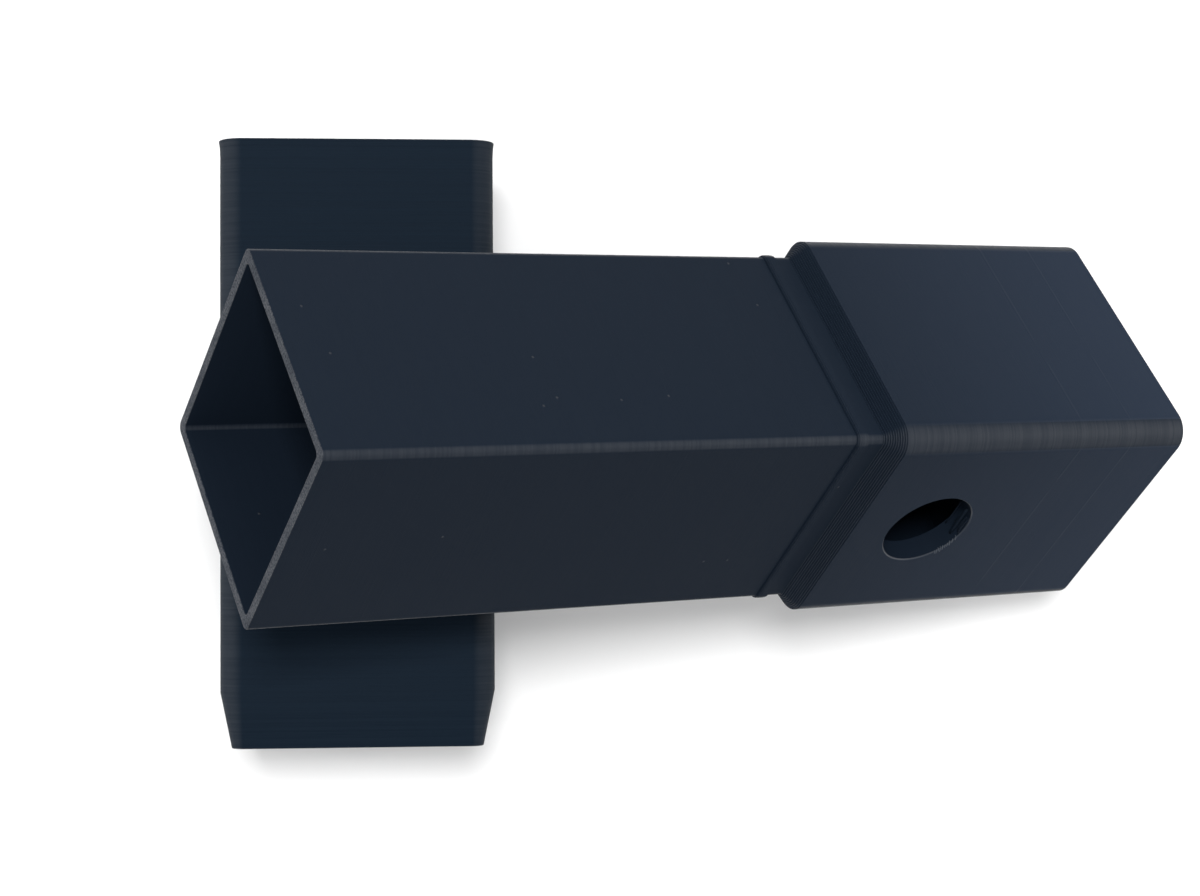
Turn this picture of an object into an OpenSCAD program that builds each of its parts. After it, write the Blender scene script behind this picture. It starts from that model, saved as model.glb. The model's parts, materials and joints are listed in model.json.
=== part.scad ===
// Hitch key safe for a 2 inch receiver: a printed key box and the cover sleeve that slides over it.
// The sleeve lies on the surface and the key box leans across it, mouth up, as they are laid out open.
// Each piece is modelled upright on its mouth, the way it is printed, and then laid in its place.

/* [Section] */
// Outside width of the square block and of the sleeve, an easy fit in the receiver tube
body_w = 50; // [46:0.5:56]
// Outside corner radius of the block and of the sleeve
body_r = 4.45; // [3.8:0.05:6]

/* [Key box] */
// Wall of the tube
tube_wall = 1.9; // [1.2:0.1:3]
// Length of the tube from its mouth to the foot of the shoulder
tube_l = 103.5; // [90:0.5:130]
// Depth of the key chamber
key_depth = 89; // [60:1:96]
// Corner radius inside the key chamber
chamber_r = 0.8; // [0.3:0.1:2]
// Length of the block above the shoulder
block_l = 62.6; // [50:0.2:80]
// Wall of the block round the pin chamber
block_wall = 4.3; // [3:0.1:6]
// Solid end of the block
end_t = 23.8; // [6:0.2:30]
// Height of one printed layer, which steps the shoulder and the bead
layer_h = 0.3; // [0.1:0.05:0.4]

/* [Snap bead] */
// Middle of the bead below the foot of the shoulder
bead_drop = 4.35; // [3:0.05:8]
// Width of the bead along the tube
bead_w = 2.4; // [1.2:0.1:4]
// Height of the bead above the tube
bead_h = 0.4; // [0.2:0.05:0.6]

/* [Pin hole] */
// Bore of the hole for a 5/8 inch hitch pin
pin_d = 17.2; // [16.2:0.1:19]
// Axis of the hole above the top of the shoulder
pin_rise = 16.9; // [12:0.1:24]

/* [Cover sleeve] */
// Overall length of the sleeve
sleeve_l = 111; // [100:0.5:140]
// Wall of the sleeve, even all round
sleeve_wall = 2.7; // [2:0.1:3.2]
// Gap on each side between the tube and the bore of the sleeve
slide_gap = 0.25; // [0.1:0.05:0.5]
// Gap between the mouth of the tube and the floor of the sleeve when it is closed
end_gap = 0.8; // [0.4:0.1:2]
// Bevel inside the mouth of the sleeve, which lands on the shoulder
mouth_bevel = 1; // [0.4:0.1:2]
// Length of the tapered nose
nose_l = 10.2; // [4:0.1:14]
// How far each side of the nose draws in
nose_inset = 2.05; // [0.5:0.05:2.6]
// Spare room of the snap groove round the bead
groove_gap = 0.1; // [0.05:0.05:0.3]

/* [Lay] */
// Slope of the key box, mouth up
lean = 25.1; // [15:0.1:32]
// Turn of the key box about its own axis, which puts one long edge underneath
roll = 52.2; // [35:0.1:55]
// Turn of the key box on the surface
turn = 2.3; // [-5:0.1:5]
// Middle of the tube's mouth along the sleeve, from the sleeve's middle
lay_y = -1.4; // [-10:0.1:10]
// Gap left where the tube lies over the edge of the sleeve
lay_gap = 0.3; // [0.1:0.1:1]

/* [Hidden] */
plastic = "#232a35";

// Overrun of every cut
over = 0.5 * layer_h;
// Roundness of the true arcs
$fn = 64;

// The bore is the sleeve's section less its wall, and the tube is the bore less the gap
bore_w = body_w - 2 * sleeve_wall;
bore_r = body_r - sleeve_wall;
tube_w = bore_w - 2 * slide_gap;
tube_r = max(bore_r - slide_gap, layer_h);

// Heights along the key box, from its mouth
shoulder_h = (body_w - tube_w) / 2;
shoulder_top = tube_l + shoulder_h;
box_l = shoulder_top + block_l;
bead_z = tube_l - bead_drop;
pin_z = shoulder_top + pin_rise;
// Chambers of the key box
key_w = tube_w - 2 * tube_wall;
pin_room_w = body_w - 2 * block_wall;
pin_room_r = max(body_r - block_wall, chamber_r);
pin_room_h = block_l - end_t;

// The sleeve's bevelled mouth seats on the shoulder, and its floor stays clear of the tube's mouth
seat_z = tube_l + slide_gap + mouth_bevel;
bore_depth = seat_z + end_gap;
groove_z = seat_z - bead_z;

// Directions of the laid key box: along its axis, across to the pin hole's far face, and the third
along = [cos(lean) * cos(turn), cos(lean) * sin(turn), -sin(lean)];
down = [-sin(lean) * cos(turn), -sin(lean) * sin(turn), -cos(lean)];
level = [-sin(turn), cos(turn), 0];
across = down * cos(roll) + level * sin(roll);
third = level * cos(roll) - down * sin(roll);
// The block's lowest corner meets the surface
corner_reach = (body_w / 2 - body_r) * (cos(roll) + sin(roll)) + body_r;
mouth_z = box_l * sin(lean) + corner_reach * cos(lean);
// The tube's lowest long edge lies over the sleeve's upper edge with the gap between them
edge_in = (across - third) * (tube_w / 2 - tube_r);
sleeve_edge = body_w / 2 - body_r;
slope = norm([along[0], along[2]]);
edge_rise = mouth_z + edge_in[2] - (body_w - body_r);
edge_reach = (slope * (tube_r + body_r + lay_gap) - along[0] * edge_rise) / -along[2];
mouth_x = sleeve_edge - edge_in[0] + edge_reach;

// A square with true arcs at its corners
module rounded_square(w, r) {
    flat = w - 2 * r;
    square([w, flat], center = true);
    square([flat, w], center = true);
    for (x = [-flat / 2, flat / 2])
        for (y = [-flat / 2, flat / 2])
            translate([x, y]) circle(r = r);
}

// A straight length of that section, standing on the plane z = z
module prism(w, r, z, h) {
    translate([0, 0, z]) linear_extrude(height = h) rounded_square(w, r);
}

// A low ring round a section, built of layers whose widths follow a half sine
module ring(w, r, z, width, height) {
    layers = max(2, round(width / (2 * layer_h)));
    for (i = [1 : layers]) {
        rise = height * sin(90 * i / layers);
        half = width / 2 * cos(90 * (i - 1) / layers);
        prism(w + 2 * rise, r + rise, z - half, 2 * half);
    }
}

// The 45 degree shoulder from the tube to the block, one step to each printed layer
module shoulder() {
    steps = max(2, round(shoulder_h / layer_h));
    for (i = [0 : steps - 1]) {
        part_share = (i + 0.5) / steps;
        w = tube_w + (body_w - tube_w) * part_share;
        r = tube_r + (body_r - tube_r) * part_share;
        z = tube_l + shoulder_h * i / steps;
        prism(w, r, z, shoulder_top - z);
    }
}

// The hole for the hitch pin runs straight through both walls of the block
module pin_hole() {
    translate([0, 0, pin_z]) rotate([0, 90, 0])
        cylinder(d = pin_d, h = body_w + 2 * over, center = true);
}

// Key box: thin tube with its snap bead, stepped shoulder and block, in one print.
// The key chamber opens at the tube's mouth, and the pin chamber lies behind a thick floor.
module key_box_upright() {
    difference() {
        union() {
            prism(tube_w, tube_r, 0, tube_l);
            ring(tube_w, tube_r, bead_z, bead_w, bead_h);
            shoulder();
            prism(body_w, body_r, shoulder_top, block_l);
        }
        prism(key_w, chamber_r, -over, key_depth + over);
        prism(pin_room_w, pin_room_r, shoulder_top, pin_room_h);
        pin_hole();
    }
}

// The nose of the sleeve: every side and every corner draws in alike, so the corners stay round
module nose() {
    flat = body_w - 2 * body_r;
    side = [
        [-body_w / 2, 0], [body_w / 2, 0],
        [body_w / 2 - nose_inset, nose_l], [nose_inset - body_w / 2, nose_l]
    ];
    for (a = [0, 90])
        rotate([90, 0, a]) linear_extrude(height = flat, center = true) polygon(side);
    for (x = [-flat / 2, flat / 2])
        for (y = [-flat / 2, flat / 2])
            translate([x, y, 0]) cylinder(r1 = body_r, r2 = body_r - nose_inset, h = nose_l);
}

// Bevel inside the mouth of the sleeve, one step to each printed layer
module mouth_lead() {
    steps = max(2, round(mouth_bevel / layer_h));
    for (i = [0 : steps - 1]) {
        rise = mouth_bevel * (1 - i / steps);
        prism(bore_w + 2 * rise, bore_r + rise, -over, over + mouth_bevel * (i + 1) / steps);
    }
}

// Cover sleeve: square bore with a bevelled mouth and the groove that the bead snaps into
module cover_sleeve_upright() {
    difference() {
        union() {
            prism(body_w, body_r, 0, sleeve_l - nose_l);
            translate([0, 0, sleeve_l - nose_l]) nose();
        }
        prism(bore_w, bore_r, -over, bore_depth + over);
        mouth_lead();
        ring(tube_w, tube_r, groove_z, bead_w + 2 * groove_gap, bead_h + groove_gap);
    }
}

module key_box() {
    color(plastic)
        translate([mouth_x, lay_y, mouth_z])
            rotate([0, 90 + lean, turn]) rotate([0, 0, roll]) key_box_upright();
}

module cover_sleeve() {
    color(plastic)
        translate([0, sleeve_l / 2, body_w / 2]) rotate([90, 0, 0]) cover_sleeve_upright();
}

key_box();
cover_sleeve();
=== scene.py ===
# Hitch key safe of printed plastic, laid out open: the cover sleeve lies flat on the table,
# and the key box leans across it with its mouth end raised.
import json
import math
import random

import bmesh
import bpy
from mathutils import Matrix, Vector

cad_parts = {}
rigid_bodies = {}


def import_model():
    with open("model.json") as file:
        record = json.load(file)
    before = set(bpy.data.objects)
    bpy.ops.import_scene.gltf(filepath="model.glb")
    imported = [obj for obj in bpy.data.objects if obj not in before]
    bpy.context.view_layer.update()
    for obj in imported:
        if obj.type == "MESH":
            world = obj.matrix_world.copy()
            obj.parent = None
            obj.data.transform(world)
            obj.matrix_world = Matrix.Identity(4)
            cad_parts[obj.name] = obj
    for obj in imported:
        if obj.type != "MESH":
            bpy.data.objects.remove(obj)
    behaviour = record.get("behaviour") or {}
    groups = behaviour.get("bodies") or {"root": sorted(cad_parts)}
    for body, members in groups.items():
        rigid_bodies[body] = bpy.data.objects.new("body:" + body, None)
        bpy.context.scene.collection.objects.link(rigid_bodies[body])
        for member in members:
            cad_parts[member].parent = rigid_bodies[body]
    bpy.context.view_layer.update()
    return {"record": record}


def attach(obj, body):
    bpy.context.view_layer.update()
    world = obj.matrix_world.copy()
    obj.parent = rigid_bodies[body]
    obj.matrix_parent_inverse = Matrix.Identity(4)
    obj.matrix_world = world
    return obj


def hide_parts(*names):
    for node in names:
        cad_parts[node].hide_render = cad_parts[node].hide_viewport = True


for left_over in list(bpy.data.objects):
    bpy.data.objects.remove(left_over)
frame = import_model()

# Key box: one print of satin blue-black plastic, made standing on its mouth. A thin square
# tube is its chamber, a low bead and a shoulder of stepped layers end the tube, and a thick
# square block with the hole for the hitch pin carries it on.
MM = 0.001
body_width = 50 * MM
body_corner = 4.45 * MM
tube_width = 44.1 * MM
shoulder_foot = 103.5 * MM
shoulder_height = (body_width - tube_width) / 2
shoulder_top = shoulder_foot + shoulder_height
block_end = shoulder_top + 62.6 * MM
shoulder_layers = 10
shoulder_step = shoulder_height / shoulder_layers
layer_edge = 0.07 * MM
corner_cuts = 12
bead_middle = 99.15 * MM
# Pairs in millimetres. A layer of the bead has half its width along the tube, and how far it
# stands beyond the last one. A step of an eased edge goes inward, and on along the piece.
bead_layers = ((1.2, 0.153), (1.109, 0.130), (0.849, 0.087), (0.459, 0.030))
mouth_round = ((0.05, 0.13), (0.13, 0.05))
end_round = ((0.04, 0.12), (0.12, 0.04))
# A face looks along an axis when more than this share of its normal does
facing = 0.5
weld_gap = 1e-7
smooth_below = math.radians(32)


def only(piece):
    """Make one piece the only one selected, and active."""
    bpy.ops.object.select_all(action="DESELECT")
    piece.select_set(True)
    bpy.context.view_layer.objects.active = piece


def start_square(name, width, corner, height):
    """Lay a square plate with round corners at a height, and stay in edit mode on it."""
    bpy.ops.object.select_all(action="DESELECT")
    bpy.ops.mesh.primitive_plane_add(size=width, location=(0, 0, height))
    piece = bpy.context.object
    piece.name = name
    bpy.ops.object.transform_apply(location=True, rotation=True, scale=True)
    bpy.ops.object.mode_set(mode="EDIT")
    bpy.ops.mesh.select_mode(type="VERT")
    bpy.ops.mesh.select_all(action="SELECT")
    bpy.ops.mesh.bevel(
        offset=corner, offset_type="OFFSET", segments=corner_cuts, affect="VERTICES")
    bpy.ops.mesh.select_mode(type="FACE")
    bpy.ops.mesh.select_all(action="SELECT")
    return piece


def lift(distance):
    """Draw the selected end face out along the upright axis."""
    bpy.ops.mesh.extrude_region_move(TRANSFORM_OT_translate={"value": (0, 0, distance)})


def climb(height, levels):
    """Draw the selected end face out from its height to each level in turn."""
    for level in levels:
        lift(level - height)
        height = level


def draw_in(steps):
    """Take the selected end face inward and on by pairs in millimetres."""
    for inward, rise in steps:
        bpy.ops.mesh.inset(thickness=inward * MM, depth=rise * MM)


def rise_of(steps):
    """How far such pairs take an end face on."""
    return sum(rise for _, rise in steps) * MM


def pick(piece, wanted):
    """Select in edit mode the faces whose middle and normal pass a test."""
    bpy.ops.mesh.select_mode(type="FACE")
    shape = bmesh.from_edit_mesh(piece.data)
    for face in shape.faces:
        face.select_set(bool(wanted(face.calc_center_median(), face.normal)))
    bmesh.update_edit_mesh(piece.data)


def pick_end(piece, way):
    """Select the end that looks up (1) or down (-1)."""
    pick(piece, lambda middle, normal: normal.z * way > facing)


def face_outward():
    """Turn every face of the shape outward."""
    bpy.ops.mesh.select_all(action="SELECT")
    bpy.ops.mesh.normals_make_consistent(inside=False)


def layer_levels(middle, layers, way):
    """Heights of the edges of a bead's layers, passed on the way up (1) or down (-1)."""
    halves = [half * MM for half, _ in layers]
    return ([middle - way * half for half in halves]
            + [middle + way * half for half in reversed(halves)])


def swell(piece, bead, layers):
    """Push the layers of a bead out of an upright wall, the widest first."""
    for half, rise in layers:
        pick(piece, lambda middle, normal:
             abs(middle.z - bead) < half * MM and abs(normal.z) < facing)
        bpy.ops.mesh.extrude_region_shrink_fatten(
            TRANSFORM_OT_shrink_fatten={"value": rise * MM, "use_even_offset": True})


def end_shape(piece):
    """Leave edit mode with one closed skin that faces outward."""
    bpy.ops.mesh.select_all(action="SELECT")
    bpy.ops.mesh.remove_doubles(threshold=weld_gap)
    face_outward()
    bpy.ops.object.mode_set(mode="OBJECT")
    return piece


def cut_out(piece, cutter):
    """Cut one shape out of a piece."""
    only(piece)
    saw = piece.modifiers.new("saw", "BOOLEAN")
    saw.operation = "DIFFERENCE"
    saw.solver = "EXACT"
    saw.object = cutter
    bpy.ops.object.modifier_apply(modifier=saw.name)
    bpy.data.objects.remove(cutter)


def even_faces(piece):
    """Keep flat faces flat to the eye, and blend only the round corners."""
    only(piece)
    bpy.ops.object.shade_smooth_by_angle(angle=smooth_below)
    level = piece.modifiers.new("level", "WEIGHTED_NORMAL")
    level.keep_sharp = True
    bpy.ops.object.modifier_apply(modifier=level.name)


key_box = start_square("key_box_print", body_width, body_corner, shoulder_top)
lift(block_end - shoulder_top - rise_of(end_round))
face_outward()
pick_end(key_box, 1)
draw_in(end_round)
# The shoulder goes down in steps, each with its lower edge cut off
pick_end(key_box, -1)
ledge = shoulder_step / 2
for layer in range(shoulder_layers):
    bpy.ops.mesh.inset(thickness=ledge, depth=0)
    lift(-(shoulder_step - layer_edge))
    bpy.ops.mesh.inset(thickness=layer_edge, depth=layer_edge)
    ledge = shoulder_step - layer_edge
bpy.ops.mesh.inset(thickness=shoulder_step / 2 - layer_edge, depth=0)
climb(shoulder_foot, layer_levels(bead_middle, bead_layers, -1) + [rise_of(mouth_round)])
draw_in(mouth_round)
swell(key_box, bead_middle, bead_layers)
end_shape(key_box)

# The chamber opens at the mouth, with its inner edge eased. The pin room lies behind a thick
# floor, with a solid end above it, and the pin hole runs through both walls of the block.
tube_wall = 1.9 * MM
block_wall = 4.3 * MM
solid_end = 23.8 * MM
chamber_width = tube_width - 2 * tube_wall
chamber_corner = 0.8 * MM
chamber_depth = 89 * MM
mouth_ease = 0.15 * MM
pin_room_width = body_width - 2 * block_wall
pin_room_top = block_end - solid_end
pin_radius = 8.6 * MM
pin_height = shoulder_top + 16.9 * MM
pin_ease = 0.2 * MM
pin_sides = 96
past = 1 * MM
quarter_turn = math.radians(90)

cutter = start_square(
    "chamber_cutter", chamber_width + 2 * mouth_ease, chamber_corner + mouth_ease, -past)
lift(past)
bpy.ops.mesh.inset(thickness=mouth_ease, depth=mouth_ease)
lift(chamber_depth - mouth_ease)
cut_out(key_box, end_shape(cutter))
cutter = start_square("pin_room_cutter", pin_room_width, chamber_corner, shoulder_top)
lift(pin_room_top - shoulder_top)
cut_out(key_box, end_shape(cutter))
bpy.ops.object.select_all(action="DESELECT")
bpy.ops.mesh.primitive_cylinder_add(
    vertices=pin_sides, radius=pin_radius, depth=body_width - 2 * pin_ease,
    location=(0, 0, pin_height), rotation=(0, quarter_turn, 0))
cutter = bpy.context.object
bpy.ops.object.transform_apply(location=True, rotation=True, scale=True)
bpy.ops.object.mode_set(mode="EDIT")
grown = 1 + pin_ease / pin_radius
for side in (-1, 1):
    pick(cutter, lambda middle, normal: middle.x * side > 0 and normal.x * side > facing)
    bpy.ops.mesh.extrude_region_move(TRANSFORM_OT_translate={"value": (side * pin_ease, 0, 0)})
    bpy.ops.transform.resize(value=(1, grown, grown))
    bpy.ops.mesh.extrude_region_move(TRANSFORM_OT_translate={"value": (side * past, 0, 0)})
cut_out(key_box, end_shape(cutter))
even_faces(key_box)

# The record's end face and pin hole give the key box's place: its axis, the way from the pin
# hole's near mouth to its far one, and the middle of the tube's mouth.
mounts = {mount["name"]: mount for mount in frame["record"]["mounts"]}
along = Vector(mounts["block_end"]["axis"]).normalized()
across = -Vector(mounts["pin_hole"]["axis"]).normalized()
third = along.cross(across).normalized()
mouth_middle = Vector(mounts["block_end"]["pos_m"]) - along * block_end
lay = Matrix.Translation(mouth_middle) @ Matrix((across, third, along)).transposed().to_4x4()


def set_down(piece, place):
    """Put an upright piece in its place, with the place kept in its mesh."""
    only(piece)
    piece.matrix_world = place
    bpy.ops.object.transform_apply(location=True, rotation=True, scale=True)


# The look of the print, shared by every piece: low ridges at each layer, streaks that run
# along the layers, faint lines where the inside changes, the grain of the first layer,
# specks of stray plastic, and broad clouds that keep a flat side from being quite flat.
layer_height = 0.3 * MM
# Grain of each noise along the print's own axes, in waves to the metre
fine_streaks, broad_streaks = (160, 160, 3400), (45, 45, 700)
line_gaps, first_grain = (120, 120, 30), (2600, 2600, 2600)
first_patches, clouds_grain = (150, 150, 150), (22, 22, 30)
# Shares in a streak of the layer's own chance, the fine noise and the broad one
layer_share, fine_share, broad_share = 0.3, 0.4, 0.3
streak_low, streak_high = 0.3, 0.7
line_half, line_fade = 0.10 * MM, 0.34 * MM
gap_low, gap_high = 0.26, 0.46
first_full, first_end = 0.05 * MM, 0.16 * MM
grain_low, grain_high = 0.36, 0.64
patch_low, patch_high, patch_least = 0.38, 0.60, 0.55
# Specks lie on the tube only, in one of five cells of a pattern unrolled round its sides
specks_below = 100 * MM
speck_cells = 95
speck_bare = 0.80
speck_core, speck_edge = 0.006, 0.032
next_sides = 0.37
prints = bpy.data.node_groups.new("printed layers", "ShaderNodeTree")


def socket(name, way, kind="NodeSocketFloat"):
    """Add a named input or output to the shared group."""
    prints.interface.new_socket(name=name, in_out=way, socket_type=kind)


socket("Place", "INPUT", "NodeSocketVector")
for name in ("Line 1", "Line 2"):
    socket(name, "INPUT")
for name in ("Streaks", "Ridges", "Lines", "First layer", "Specks", "Clouds"):
    socket(name, "OUTPUT")


class Tree:
    """Places nodes in one tree and joins them as it goes."""

    def __init__(self, tree):
        self.tree = tree

    def node(self, kind, **settings):
        made = self.tree.nodes.new(kind)
        for name, value in settings.items():
            setattr(made, name, value)
        return made

    def join(self, source, target):
        self.tree.links.new(source, target)

    def math(self, operation, *values):
        """A Math node on sockets or plain numbers."""
        made = self.node("ShaderNodeMath", operation=operation)
        for place, value in enumerate(values):
            if isinstance(value, (int, float)):
                made.inputs[place].default_value = value
            else:
                self.join(value, made.inputs[place])
        return made.outputs[0]

    def times(self, first, *others):
        """Sockets or plain numbers multiplied."""
        for other in others:
            first = self.math("MULTIPLY", first, other)
        return first

    def plus(self, first, *others):
        """Sockets or plain numbers added."""
        for other in others:
            first = self.math("ADD", first, other)
        return first

    def spread(self, value, low, high, new_low=0.0, new_high=1.0, smooth=False):
        """A Map Range node."""
        made = self.node(
            "ShaderNodeMapRange", interpolation_type="SMOOTHSTEP" if smooth else "LINEAR")
        self.join(value, made.inputs["Value"])
        for name, number in (("From Min", low), ("From Max", high),
                             ("To Min", new_low), ("To Max", new_high)):
            made.inputs[name].default_value = number
        return made.outputs["Result"]

    def swing(self, value, middle, reach):
        """A 0 to 1 value swung evenly about a middle."""
        return self.spread(value, 0, 1, middle - reach, middle + reach)

    def noise(self, vector, grain, detail=2.0, rough=0.5):
        """Noise whose grain differs along each axis."""
        scaled = self.node("ShaderNodeVectorMath", operation="MULTIPLY")
        self.join(vector, scaled.inputs[0])
        scaled.inputs[1].default_value = grain
        made = self.node("ShaderNodeTexNoise")
        self.join(scaled.outputs[0], made.inputs["Vector"])
        made.inputs["Scale"].default_value = 1.0
        made.inputs["Detail"].default_value = detail
        made.inputs["Roughness"].default_value = rough
        return made.outputs["Fac"]

    def split(self, vector):
        """The three parts of a vector."""
        made = self.node("ShaderNodeSeparateXYZ")
        self.join(vector, made.inputs[0])
        return [made.outputs[axis] for axis in "XYZ"]

    def turn_back(self, vector, turn, place=(0, 0, 0)):
        """A vector given back along a piece's own upright axes."""
        made = self.node("ShaderNodeMapping", vector_type="TEXTURE")
        self.join(vector, made.inputs["Vector"])
        made.inputs["Location"].default_value = place
        made.inputs["Rotation"].default_value = turn
        return made.outputs[0]

    def mix(self, share, start, end):
        """A colour between two, of which each is a socket or a plain colour."""
        made = self.node("ShaderNodeMix", data_type="RGBA")
        self.join(share, made.inputs["Factor"])
        for name, colour in (("A", start), ("B", end)):
            if isinstance(colour, tuple):
                made.inputs[name].default_value = (*colour, 1)
            else:
                self.join(colour, made.inputs[name])
        return made.outputs["Result"]


pen = Tree(prints)
given = pen.node("NodeGroupInput")
shown = pen.node("NodeGroupOutput")
spot = given.outputs["Place"]
left, back, up = pen.split(spot)

layer_number = pen.times(up, 1 / layer_height)
within = pen.math("FRACT", layer_number)
pen.join(pen.math("SINE", pen.times(within, math.pi)), shown.inputs["Ridges"])
each = pen.node("ShaderNodeTexWhiteNoise", noise_dimensions="1D")
pen.join(pen.math("FLOOR", layer_number), each.inputs["W"])
fine = pen.noise(spot, fine_streaks, detail=3, rough=0.6)
broad = pen.noise(spot, broad_streaks)
mixed = pen.plus(pen.times(each.outputs["Value"], layer_share),
                 pen.times(fine, fine_share), pen.times(broad, broad_share))
pen.join(pen.spread(mixed, streak_low, streak_high), shown.inputs["Streaks"])

marks = 0.0
for name in ("Line 1", "Line 2"):
    off = pen.math("ABSOLUTE", pen.math("SUBTRACT", up, given.outputs[name]))
    mark = pen.spread(off, line_half, line_fade, 1.0, 0.0, smooth=True)
    marks = pen.math("MAXIMUM", mark, marks)
broken = pen.spread(pen.noise(spot, line_gaps), gap_low, gap_high)
pen.join(pen.times(marks, broken), shown.inputs["Lines"])

grain = pen.spread(pen.noise(spot, first_grain, detail=3, rough=0.7), grain_low, grain_high)
patches = pen.spread(pen.noise(spot, first_patches, detail=3),
                     patch_low, patch_high, patch_least, 1.0)
low = pen.spread(up, first_full, first_end, 1.0, 0.0)
pen.join(pen.times(low, grain, patches), shown.inputs["First layer"])

other_sides = pen.math("GREATER_THAN", pen.plus(left, back), 0.0)
unrolled = pen.plus(pen.math("SUBTRACT", left, back), pen.times(other_sides, next_sides))
flat = pen.node("ShaderNodeCombineXYZ")
pen.join(unrolled, flat.inputs["X"])
pen.join(up, flat.inputs["Y"])
cells = pen.node("ShaderNodeTexVoronoi", feature="F1", voronoi_dimensions="2D")
pen.join(flat.outputs[0], cells.inputs["Vector"])
cells.inputs["Scale"].default_value = speck_cells
chance = pen.node("ShaderNodeSeparateColor")
pen.join(cells.outputs["Color"], chance.inputs[0])
blob = pen.spread(cells.outputs["Distance"], speck_core, speck_edge, 1.0, 0.0, smooth=True)
pen.join(pen.times(blob, pen.math("LESS_THAN", up, specks_below),
                   pen.math("GREATER_THAN", chance.outputs[0], speck_bare)),
         shown.inputs["Specks"])
pen.join(pen.noise(spot, clouds_grain, detail=3), shown.inputs["Clouds"])

# The plastic itself, mixed for each print: dark and light tones, the pale grey of a rough first
# layer that also serves as a painted highlight on the pin hole's rim and a painted glint on
# specks, a roughness, and the heights of the marks.
first_layer_and_highlight_grey = (0.095, 0.100, 0.110)
tone_reach = 0.4
# Pale colour on the specks is a painted glint; their bumps are real
painted_speck_glint = 0.3
matt, coat_matt = 0.58, 0.58
streak_matt, cloud_matt, line_matt = 0.04, 0.06, -0.1
polish_reach, rim_polish = 0.24, 0.6
corner_start, corner_full = 0.05, 0.40
ridge_rise, streak_rise, line_rise = 0.010 * MM, 0.020 * MM, 0.03 * MM
speck_rise, first_rise, cloud_rise = 0.12 * MM, 0.06 * MM, 0.08 * MM
# A height that no layer has, for a print without lines
no_line = -1.0
# Painted light: the key box's block is painted lighter on its outer skin, more towards its end,
# and its pin hole's eased rim has a painted highlight
block_skin = 0.5 * pin_ease
block_least = 0.2
rim_margin = 0.03
rim_reach = pin_radius + 1.5 * pin_ease
rim_foot, rim_roof = 0.5, 0.1


def painted_block_light_share(draw, wide, deep, up):
    """Share of painted light on the block's outer skin: more towards its end."""
    outer = draw.math("MAXIMUM", wide, deep)
    skin = draw.math("GREATER_THAN", outer, body_width / 2 - block_skin)
    on_block = draw.math("GREATER_THAN", up, shoulder_top - shoulder_step / 2)
    return draw.times(skin, draw.spread(up, shoulder_top, block_end, block_least, 1.0), on_block)


def painted_rim_highlight(draw, wide, deep, up):
    """Share of the painted highlight on the pin hole's eased rim: more at its foot than at its
    roof.
    """
    inner = draw.math("GREATER_THAN", wide, body_width / 2 - (1 - rim_margin) * pin_ease)
    outer = draw.math("LESS_THAN", wide, body_width / 2 - rim_margin * pin_ease)
    off_axis = draw.math("SUBTRACT", up, pin_height)
    reach = draw.math("SQRT", draw.plus(draw.times(off_axis, off_axis),
                                        draw.times(deep, deep)))
    near = draw.math("LESS_THAN", reach, rim_reach)
    strength = draw.spread(off_axis, -pin_radius, 0.5 * pin_radius, rim_foot, rim_roof)
    return draw.times(inner, outer, near, strength)


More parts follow.
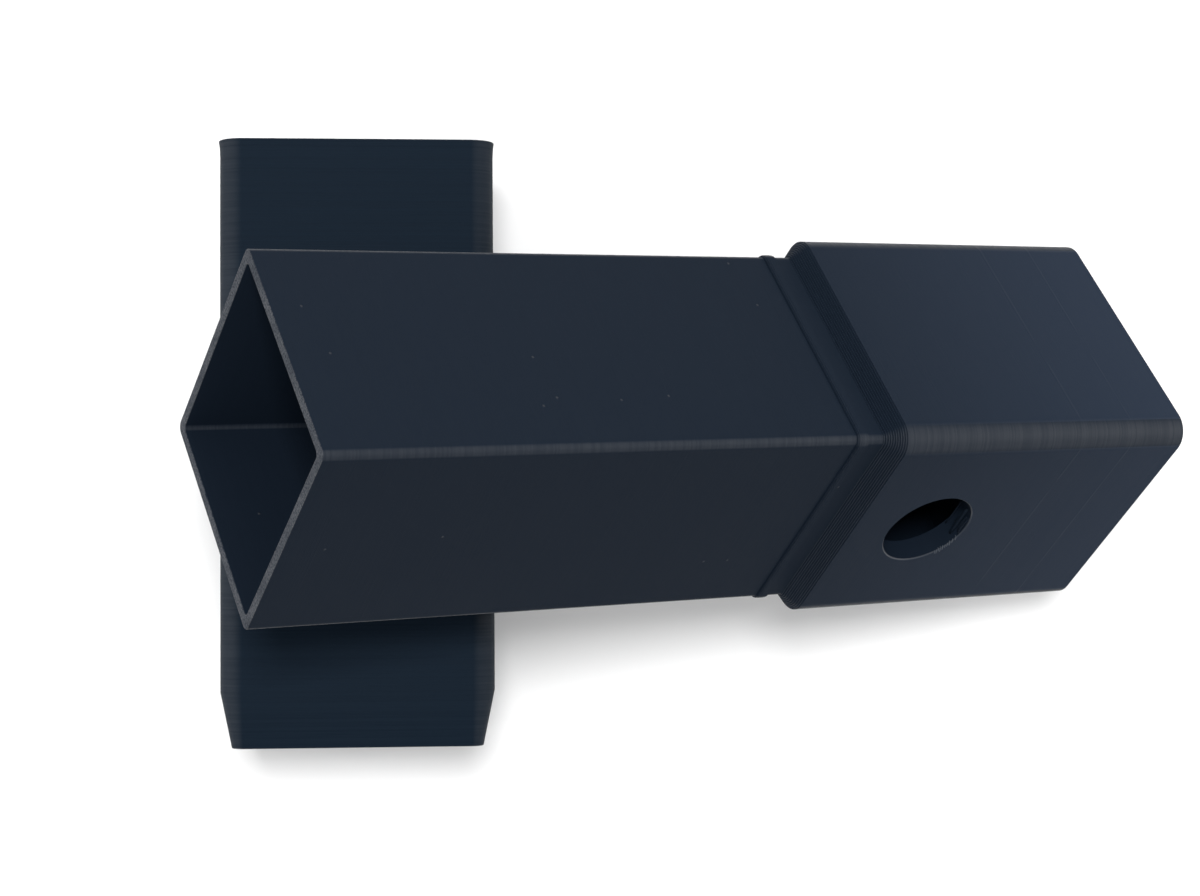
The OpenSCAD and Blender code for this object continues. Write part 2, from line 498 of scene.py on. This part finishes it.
def printed_plastic(name, place, dark, light, shine, corner_shine, streak,
                    lines=(no_line, no_line), painted_block_light=None):
    """A finish for one print, whose own upright axes the mapping gives back.

    The round corners are smoother than the flat sides and shine more, as a thin coat would."""
    finish = bpy.data.materials.new(name)
    finish.use_nodes = True
    draw = Tree(finish.node_tree)
    shader = finish.node_tree.nodes["Principled BSDF"]
    turn = place.to_euler("XYZ")
    here = draw.node("ShaderNodeTexCoord")
    upright = draw.turn_back(here.outputs["Object"], turn, place.to_translation())
    look = draw.node("ShaderNodeGroup", node_tree=prints)
    draw.join(upright, look.inputs["Place"])
    for number, line in enumerate(lines, 1):
        look.inputs[f"Line {number}"].default_value = line
    streaks, marks = look.outputs["Streaks"], look.outputs["Lines"]
    first, clouds = look.outputs["First layer"], look.outputs["Clouds"]

    tone = draw.mix(draw.swing(streaks, 0.5, tone_reach * streak), dark, light)
    left, back, up = draw.split(upright)
    wide, deep = draw.math("ABSOLUTE", left), draw.math("ABSOLUTE", back)
    rim = specks = 0.0
    # On the key box: painted light on the block, lighter towards its end, a painted highlight on
    # the pin hole's rim, and a painted glint on the specks
    if painted_block_light:
        tone = draw.mix(painted_block_light_share(draw, wide, deep, up), tone, painted_block_light)
        rim = painted_rim_highlight(draw, wide, deep, up)
        specks = look.outputs["Specks"]
    # The first layer's pale grain is real; on the pin hole's rim and the specks the pale grey is
    # a painted highlight
    grain_and_highlight = draw.math("MAXIMUM", draw.math("MAXIMUM", first, rim),
                         draw.times(specks, painted_speck_glint))
    draw.join(draw.mix(grain_and_highlight, tone, first_layer_and_highlight_grey), shader.inputs["Base Color"])

    geometry = draw.node("ShaderNodeNewGeometry")
    sideways = draw.split(draw.turn_back(geometry.outputs["Normal"], turn))[0]
    square = draw.times(sideways, sideways)
    slant = draw.times(square, draw.math("SUBTRACT", 1.0, square))
    corner = draw.spread(draw.math("SQRT", draw.math("MAXIMUM", slant, 0.0)),
                         corner_start, corner_full, smooth=True)
    shader.inputs["Specular IOR Level"].default_value = shine
    shader.inputs["Coat Roughness"].default_value = coat_matt
    polish = draw.times(corner, draw.swing(streaks, corner_shine, polish_reach * corner_shine))
    draw.join(draw.math("MAXIMUM", polish, draw.times(rim, rim_polish)),
              shader.inputs["Coat Weight"])
    rough = draw.plus(draw.swing(streaks, matt, streak_matt * streak),
                      draw.times(clouds, cloud_matt), draw.times(marks, line_matt))
    draw.join(rough, shader.inputs["Roughness"])

    # Ridges and streaks are as deep as the print's streaks are strong, and full at corners
    height = draw.plus(draw.times(look.outputs["Ridges"], ridge_rise),
                       draw.times(streaks, streak_rise))
    height = draw.times(height, draw.spread(corner, 0, 1, streak, max(streak, 1.0)))
    for mark, rise in ((marks, line_rise), (specks, speck_rise),
                       (first, first_rise), (clouds, cloud_rise)):
        height = draw.plus(height, draw.times(mark, rise))
    bump = draw.node("ShaderNodeBump")
    bump.inputs["Strength"].default_value = 1.0
    bump.inputs["Distance"].default_value = 1.0
    draw.join(height, bump.inputs["Height"])
    draw.join(bump.outputs["Normal"], shader.inputs["Normal"])
    return finish


def dress(piece, finish):
    """Give a piece its one finish."""
    piece.data.materials.clear()
    piece.data.materials.append(finish)


# A second, fainter line runs round the block nearer to its end
faint_line = block_end - 12.35 * MM
set_down(key_box, lay)
# The block's lighter colour is painted light, growing towards the block's end
dress(key_box, printed_plastic(
    "key_box_plastic", lay, dark=(0.0062, 0.0106, 0.0184), light=(0.0075, 0.0126, 0.0215),
    shine=0.04, corner_shine=0.54, streak=0.4, lines=(pin_room_top, faint_line),
    painted_block_light=(0.0156, 0.0236, 0.0395)))
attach(key_box, "box")
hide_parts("key_box")

# Strings of the pin hole: at one side of its near mouth the ends of the layers stand out as
# a comb of short hairs, and thin threads sag under the roof that the printer bridged. All
# are round bent threads, printed in one with the block.
hair_count, hair_radius = 10, 0.06 * MM
comb_top, hair_gap = 8.15 * MM, 0.3 * MM
thread_count, thread_radius = 7, 0.2 * MM
# Spans of chance, in millimetres unless they are shares or degrees. A hair: its height, its
# length, its root inside the wall, how far it stands out, the lift of its tip, its thickness
hair_sway, hair_length, hair_root = (-0.03, 0.03), (0.3, 0.9), (0.15, 0.5)
hair_out, hair_lift, hair_share = (0.05, 0.16), (-0.12, 0.12), (0.8, 1.1)
hair_bend = 0.03 * MM
# A thread: its depth in the hole, its ends and lowest spot in degrees from the roof's
# middle, its sag and its thickness
thread_depth, thread_ends, thread_low = (0.1, 3.9), (8, 26), (-8, 8)
thread_sag, thread_share = (0.2, 1.0), (0.7, 1.4)
round_cuts, length_cuts = 2, 6
pull_share = 0.6
near_face = -body_width / 2
random.seed(11)
threads = []


def length_within(span):
    """A random length within a span of millimetres."""
    return random.uniform(*span) * MM


def thread(start, middle, end, radius):
    """A round thread bent towards a middle point on its way between two others."""
    bpy.ops.object.select_all(action="DESELECT")
    bpy.ops.curve.primitive_bezier_curve_add(location=(0, 0, 0))
    line = bpy.context.object
    line.data.bevel_depth = radius
    line.data.bevel_resolution = round_cuts
    line.data.resolution_u = length_cuts
    line.data.use_fill_caps = True
    knots = line.data.splines[0].bezier_points
    for knot, spot, way in zip(knots, (start, end), (1, -1)):
        knot.co = spot
        knot.handle_left_type = knot.handle_right_type = "FREE"
        pull = (Vector(middle) - Vector(spot)) * pull_share * way
        knot.handle_left, knot.handle_right = Vector(spot) - pull, Vector(spot) + pull
    bpy.ops.object.convert(target="MESH")
    threads.append(bpy.context.object)


def in_hole(angle, depth, reach):
    """A spot in the hole: an angle from its roof, a depth from its near mouth, a radius."""
    turn = math.radians(angle)
    return (near_face + depth, -reach * math.sin(turn), pin_height + reach * math.cos(turn))


def gather(name, dark, light, shine):
    """Join the threads made so far into one piece with its plastic."""
    bpy.ops.object.select_all(action="DESELECT")
    for line in threads:
        line.select_set(True)
    bpy.context.view_layer.objects.active = threads[0]
    bpy.ops.object.join()
    threads.clear()
    piece = bpy.context.object
    piece.name = name
    bpy.ops.object.mode_set(mode="EDIT")
    end_shape(piece)
    bpy.ops.object.shade_smooth()
    set_down(piece, lay)
    dress(piece, printed_plastic(
        name + "_plastic", lay, dark, light, shine, corner_shine=0.0, streak=0.3))
    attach(piece, "box")


for number in range(hair_count):
    rise = comb_top - number * hair_gap + length_within(hair_sway)
    aside = -math.sqrt(pin_radius ** 2 - rise ** 2)
    long = length_within(hair_length)
    root = near_face + length_within(hair_root)
    tip = near_face - length_within(hair_out)
    level = pin_height + rise
    tip_level = level + length_within(hair_lift)
    thread((root, aside, level), (near_face - hair_bend, aside, level),
           (tip, aside - long, tip_level), hair_radius * random.uniform(*hair_share))
gather("pin_hole_comb", dark=(0.055, 0.066, 0.082), light=(0.075, 0.088, 0.108), shine=0.3)
for number in range(thread_count):
    depth = length_within(thread_depth)
    side = random.uniform(*thread_ends)
    sag = length_within(thread_sag)
    lowest = random.uniform(*thread_low)
    thread(in_hole(-side, depth, pin_radius), in_hole(lowest, depth, pin_radius - sag),
           in_hole(side, depth, pin_radius), thread_radius * random.uniform(*thread_share))
# The threads' tones are a little darker than the block's: painted shade of the hole they hang in
gather("pin_hole_threads", dark=(0.0050, 0.0090, 0.0155), light=(0.0070, 0.0115, 0.0190),
       shine=0.04)

# Cover sleeve: one print of the same plastic and section, made standing on its mouth. The
# first layers are squeezed out a little, the nose draws in on all sides, and the square
# bore has a bevelled mouth and the groove that the bead snaps into.
sleeve_length = 111 * MM
nose_length, nose_inset = 10.2 * MM, 2.05 * MM
sleeve_wall, slide_gap = 2.7 * MM, 0.25 * MM
mouth_bevel, end_gap = 1 * MM, 0.8 * MM
seat = shoulder_foot + slide_gap + mouth_bevel
bore_width = body_width - 2 * sleeve_wall
bore_corner = body_corner - sleeve_wall
bore_depth = seat + end_gap
groove_middle = seat - bead_middle
# The groove's layers are a little wider than the bead's, in millimetres, and less deep,
# because they start from the bore and not from the tube
groove_room, groove_share = 0.1, 0.62
groove_layers = tuple((half + groove_room, rise * groove_share) for half, rise in bead_layers)
squeezed = ((0.09, 0.6), (0.07, 0.8), (0.04, 1.1))
foot = sum(inward for inward, _ in squeezed) * MM
foot_ease = 0.1 * MM
# Height of the side above its first layer, before the squeezed layers draw in
sliver = 0.01 * MM

sleeve = start_square(
    "cover_sleeve_print", body_width + 2 * foot, body_corner + foot, layer_height)
lift(sleeve_length / 2)
face_outward()
pick_end(sleeve, 1)
bpy.ops.transform.translate(value=(0, 0, -sleeve_length / 2 + sliver))
draw_in(squeezed)
lift(sleeve_length - nose_length - layer_height - sliver - rise_of(squeezed))
bpy.ops.mesh.inset(thickness=nose_inset, depth=nose_length - rise_of(mouth_round))
draw_in(mouth_round)
pick_end(sleeve, -1)
lift(-(layer_height - foot_ease))
bpy.ops.mesh.inset(thickness=foot_ease, depth=foot_ease)
end_shape(sleeve)
cutter = start_square(
    "bore_cutter", bore_width + 2 * mouth_bevel, bore_corner + mouth_bevel, -past)
lift(past)
bpy.ops.mesh.inset(thickness=mouth_bevel, depth=mouth_bevel)
climb(mouth_bevel, layer_levels(groove_middle, groove_layers, 1) + [bore_depth])
swell(cutter, groove_middle, groove_layers)
cut_out(sleeve, end_shape(cutter))
even_faces(sleeve)
sleeve_lay = (Matrix.Translation((0, sleeve_length / 2, body_width / 2))
              @ Matrix.Rotation(quarter_turn, 4, "X"))
set_down(sleeve, sleeve_lay)
# The squeezed side that lies on the table is pressed flat by it
for vertex in sleeve.data.vertices:
    vertex.co.z = max(vertex.co.z, 0.0)
# The cover's tones are a little darker than the key box's: painted shade, for its top facing the
# dimmer light overhead
dress(sleeve, printed_plastic(
    "cover_sleeve_plastic", sleeve_lay, dark=(0.0046, 0.0098, 0.0175),
    light=(0.0062, 0.0121, 0.0206), shine=0.03, corner_shine=0.29, streak=1.2))
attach(sleeve, "cover")
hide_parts("cover_sleeve")

# Table, light and camera: a white table under plain soft light, most of it from above, and
# the camera nearly straight over the object, where the photograph was taken from.
table_size = 12
table_tone, table_matt = 0.8, 0.9
table_glow = 0.1
room_light, room_white = 0.59, 1.0
lamp_aim = Vector((0.03, 0, 0.03))
plain_white = (1, 1, 1, 1)

bpy.ops.object.select_all(action="DESELECT")
bpy.ops.mesh.primitive_plane_add(size=table_size, location=(0, 0, 0))
table_top = bpy.context.object
table_top.name = "table_top"
white = bpy.data.materials.new("table_white")
white.use_nodes = True
draw = Tree(white.node_tree)
shader = white.node_tree.nodes["Principled BSDF"]
shader.inputs["Base Color"].default_value = (table_tone, table_tone, table_tone, 1)
shader.inputs["Roughness"].default_value = table_matt
shader.inputs["Specular IOR Level"].default_value = 0.0
shader.inputs["Emission Color"].default_value = plain_white
rays = draw.node("ShaderNodeLightPath")
mirrored = draw.math("MAXIMUM", rays.outputs["Is Glossy Ray"],
                     rays.outputs["Is Transmission Ray"])
seen = draw.math("MAXIMUM", rays.outputs["Is Camera Ray"], mirrored)
draw.join(draw.times(seen, table_glow), shader.inputs["Emission Strength"])
dress(table_top, white)

world = bpy.data.worlds.new("soft_room")
bpy.context.scene.world = world
world.use_nodes = True
draw = Tree(world.node_tree)
room = world.node_tree.nodes["Background"]
room.inputs["Color"].default_value = plain_white
rays = draw.node("ShaderNodeLightPath")
draw.join(draw.spread(rays.outputs["Is Camera Ray"], 0, 1, room_light, room_white),
          room.inputs["Strength"])


def soft_light(name, place, size, power):
    """A square soft box that faces the object."""
    light = bpy.data.lights.new(name, "AREA")
    light.shape = "SQUARE"
    light.size = size
    light.energy = power
    lamp = bpy.data.objects.new(name, light)
    bpy.context.scene.collection.objects.link(lamp)
    lamp.location = place
    lamp.rotation_euler = (Vector(place) - lamp_aim).to_track_quat("Z", "Y").to_euler()


soft_light("window", (-0.02, 0.14, 1.1), size=0.2, power=9.3)
soft_light("back", (0.15, 1.2, 0.35), size=0.7, power=3.5)
soft_light("side_left", (-0.9, 0.0, 0.35), size=0.5, power=3.6)
soft_light("side_right", (0.46, 0.0, 0.20), size=0.2, power=0.45)

# The camera was solved from the outline of the photograph: metres, degrees and millimetres
camera_spot = (0.007881, -0.015375, 0.493505)
camera_turn = (1.8607, -4.6831, -0.3184)
focal_length, film_width = 72.854, 36
lens = bpy.data.cameras.new("camera")
lens.lens = focal_length
lens.sensor_width = film_width
lens.sensor_fit = "HORIZONTAL"
camera = bpy.data.objects.new("camera", lens)
bpy.context.scene.collection.objects.link(camera)
camera.location = camera_spot
camera.rotation_euler = [math.radians(angle) for angle in camera_turn]
bpy.context.scene.camera = camera
bpy.context.scene.view_settings.view_transform = "Standard"
